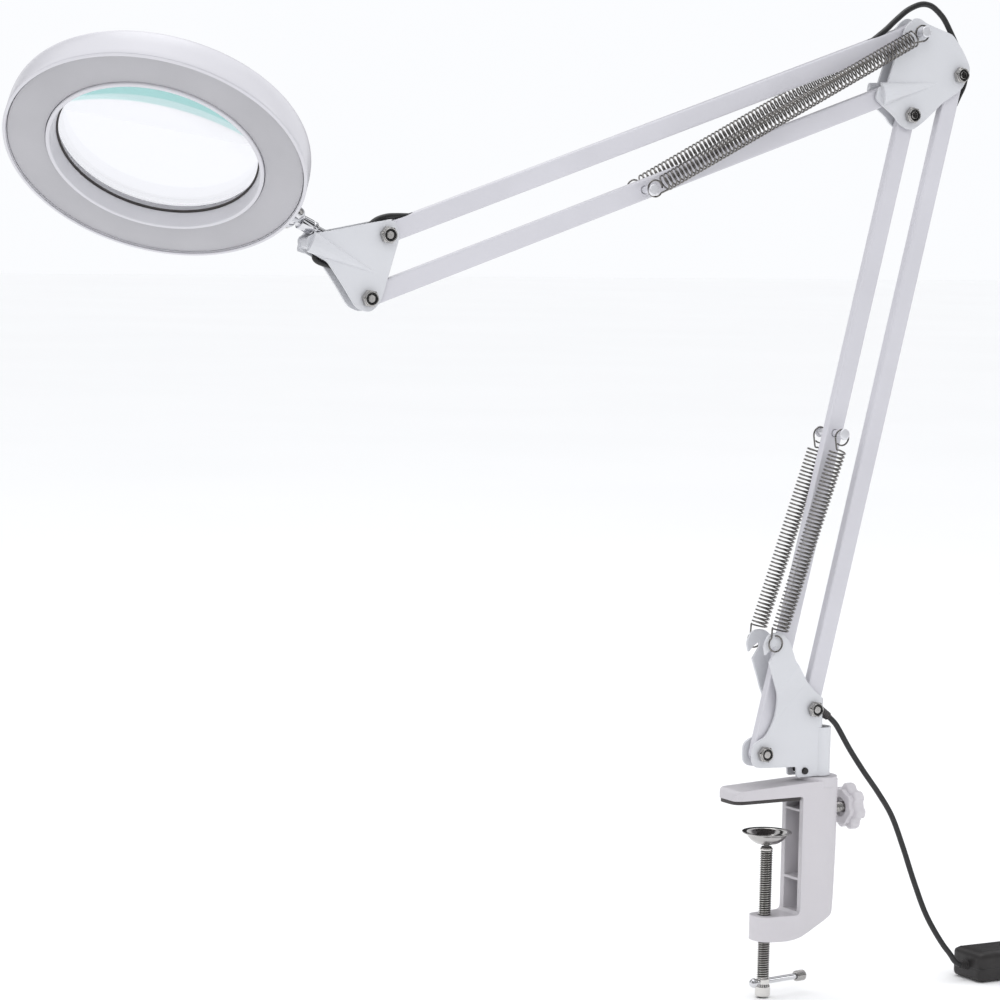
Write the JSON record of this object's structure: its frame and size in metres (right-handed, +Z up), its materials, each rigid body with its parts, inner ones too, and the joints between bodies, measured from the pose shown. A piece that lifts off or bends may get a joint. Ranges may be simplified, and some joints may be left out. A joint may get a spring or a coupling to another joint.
{
  "type": "magnifying_lamp",
  "caption": "Clamp-on magnifying lamp: round ring-light head with a large lens on a spring-balanced double-parallelogram arm, C-clamp, swivel post and corded in-line switch",
  "frame": {"origin": "Where the clamp screw's axis meets the underside of the rubber pad in the upper jaw, which is the face that rests on the table top.", "axes": "+Z is up. The arm moves in the XZ plane, with the lamp head towards -X and the swivel post and cord towards +X. +Y is across the arm, along its pivot bolts."},
  "size_m": [0.7497, 0.1392, 0.5482],
  "materials": {
    "clamp_paint": "light warm-grey powder coat on cast and folded metal, slightly satin",
    "bracket_paint": "off-white powder coat on folded sheet steel, satin",
    "tube_paint": "off-white powder coat on rectangular steel tube, satin",
    "head_plastic": "white moulded ABS, semi-gloss",
    "diffuser": "frosted translucent acrylic, unlit",
    "lens_glass": "clear polished biconvex lens",
    "circuit_board": "white solder mask board with small light emitters",
    "chrome": "bright nickel-chrome plating",
    "zinc_steel": "bright zinc-plated steel",
    "spring_steel": "nickel-plated close-wound spring wire",
    "pad_rubber": "black rubber, matt",
    "cable_jacket": "black flexible cable jacket, slight sheen",
    "black_plastic": "black moulded plastic, fine texture"
  },
  "bodies": {
    "clamp": {"clamp_frame": "clamp_paint", "clamp_pad": "pad_rubber", "cord": "cable_jacket", "cord_switch": "black_plastic", "cord_tail": "cable_jacket", "cord_coil": "cable_jacket", "cord_plug": "black_plastic"},
    "cup": {"clamp_cup": "zinc_steel"},
    "screw": {"clamp_screw": "zinc_steel", "tommy_bar": "chrome", "tommy_cap": "zinc_steel"},
    "stud": {"lock_stud": "zinc_steel"},
    "knob": {"lock_knob": "clamp_paint"},
    "button": {"switch_button": "black_plastic"},
    "base": {"base_bracket": "bracket_paint", "base_post": "zinc_steel", "base_pinch_screw": "black_plastic", "base_front_bolt": "zinc_steel", "base_front_nut": "zinc_steel", "base_rear_bolt": "zinc_steel", "base_rear_nut": "zinc_steel", "cord_gland": "pad_rubber"},
    "rear_tube": {"lower_rear_tube": "tube_paint"},
    "front_tube": {"lower_front_tube": "tube_paint", "lower_spring_pin": "chrome", "lower_spring_near": "spring_steel", "lower_spring_far": "spring_steel"},
    "elbow": {"elbow_bracket": "bracket_paint", "elbow_rear_bolt": "zinc_steel", "elbow_rear_nut": "zinc_steel", "elbow_front_bolt": "zinc_steel", "elbow_front_nut": "zinc_steel", "elbow_spring_pin": "chrome", "elbow_lower_rivet": "zinc_steel", "elbow_cable_upper": "cable_jacket", "elbow_cable_lower": "cable_jacket"},
    "top_tube": {"upper_top_tube": "tube_paint"},
    "bottom_tube": {"upper_bottom_tube": "tube_paint", "upper_spring_pin": "chrome", "upper_spring_near": "spring_steel", "upper_spring_far": "spring_steel"},
    "head_carrier": {"head_bracket": "bracket_paint", "head_top_bolt": "zinc_steel", "head_top_nut": "zinc_steel", "head_bottom_bolt": "zinc_steel", "head_bottom_nut": "zinc_steel", "stem_bush": "black_plastic", "head_cable": "cable_jacket", "head_cable_inner": "cable_jacket"},
    "stem": {"head_stem": "chrome", "tilt_bolt": "zinc_steel", "tilt_nut": "chrome"},
    "head": {"head_lug": "bracket_paint", "head_housing": "head_plastic", "head_bezel": "head_plastic", "led_diffuser": "diffuser", "led_board": "circuit_board", "magnifier_lens": "lens_glass", "lens_ring": "head_plastic", "lens_seal": "pad_rubber"}
  },
  "joints": [
    {"name": "clamp_lift", "type": "slide", "parent": "clamp", "child": "cup", "axis": [0, 0, 1], "range_m": [-0.03, 0.0158]},
    {"name": "screw_turn", "type": "hinge", "parent": "cup", "child": "screw", "pos_m": [0, 0, -0.06], "axis": [0, 0, 1], "range_deg": [-8600, 4600]},
    {"name": "stud_feed", "type": "slide", "parent": "clamp", "child": "stud", "axis": [1, 0, 0], "range_m": [0, 0.002]},
    {"name": "knob_turn", "type": "hinge", "parent": "stud", "child": "knob", "pos_m": [0.0546, 0, -0.0075], "axis": [1, 0, 0], "range_deg": [0, 725]},
    {"name": "button_press", "type": "slide", "parent": "clamp", "child": "button", "axis": [0, 0, -1], "range_m": [0, 0.0009], "stiffness_N_per_m": 300},
    {"name": "base_swivel", "type": "hinge", "parent": "clamp", "child": "base", "pos_m": [0.033, 0, 0.02], "axis": [0, 0, 1], "range_deg": [-170, 170], "deforming": ["cord"]},
    {"name": "lower_arm", "type": "hinge", "parent": "base", "child": "rear_tube", "pos_m": [0.0254, 0, 0.0494], "axis": [0, 1, 0], "range_deg": [-45, 20]},
    {"name": "lower_arm_front", "type": "hinge", "parent": "base", "child": "front_tube", "pos_m": [-0.0071, 0, 0.0265], "axis": [0, 1, 0], "range_deg": [-45, 20], "deforming": ["lower_spring_near", "lower_spring_far"]},
    {"name": "elbow_level", "type": "hinge", "parent": "rear_tube", "child": "elbow", "pos_m": [0.11103, 0, 0.39804], "axis": [0, 1, 0], "range_deg": [-20, 45], "deforming": ["elbow_cable_lower"]},
    {"name": "upper_arm", "type": "hinge", "parent": "elbow", "child": "top_tube", "pos_m": [0.08233, 0, 0.42044], "axis": [0, 1, 0], "range_deg": [-28, 50], "deforming": ["elbow_cable_upper"]},
    {"name": "upper_arm_bottom", "type": "hinge", "parent": "elbow", "child": "bottom_tube", "pos_m": [0.07243, 0, 0.38844], "axis": [0, 1, 0], "range_deg": [-28, 50], "deforming": ["upper_spring_near", "upper_spring_far"]},
    {"name": "head_level", "type": "hinge", "parent": "top_tube", "child": "head_carrier", "pos_m": [-0.24516, 0, 0.30575], "axis": [0, 1, 0], "range_deg": [-50, 28], "deforming": ["head_cable"]},
    {"name": "head_roll", "type": "hinge", "parent": "head_carrier", "child": "stem", "pos_m": [-0.29608, 0, 0.3135], "axis": [0.915, 0, -0.4035], "range_deg": [-150, 150]},
    {"name": "head_tilt", "type": "hinge", "parent": "stem", "child": "head", "pos_m": [-0.29608, 0, 0.3135], "axis": [0.1905, -0.8815, 0.4321], "range_deg": [-70, 60]}
  ],
  "couplings": [
    {"joint": "screw_turn", "follows": "clamp_lift", "rad_per_m": 4947.4},
    {"joint": "knob_turn", "follows": "stud_feed", "rad_per_m": 6283.2},
    {"joint": "lower_arm_front", "follows": "lower_arm", "ratio": 1},
    {"joint": "elbow_level", "follows": "lower_arm", "ratio": -1},
    {"joint": "upper_arm_bottom", "follows": "upper_arm", "ratio": 1},
    {"joint": "head_level", "follows": "upper_arm", "ratio": -1}
  ]
}
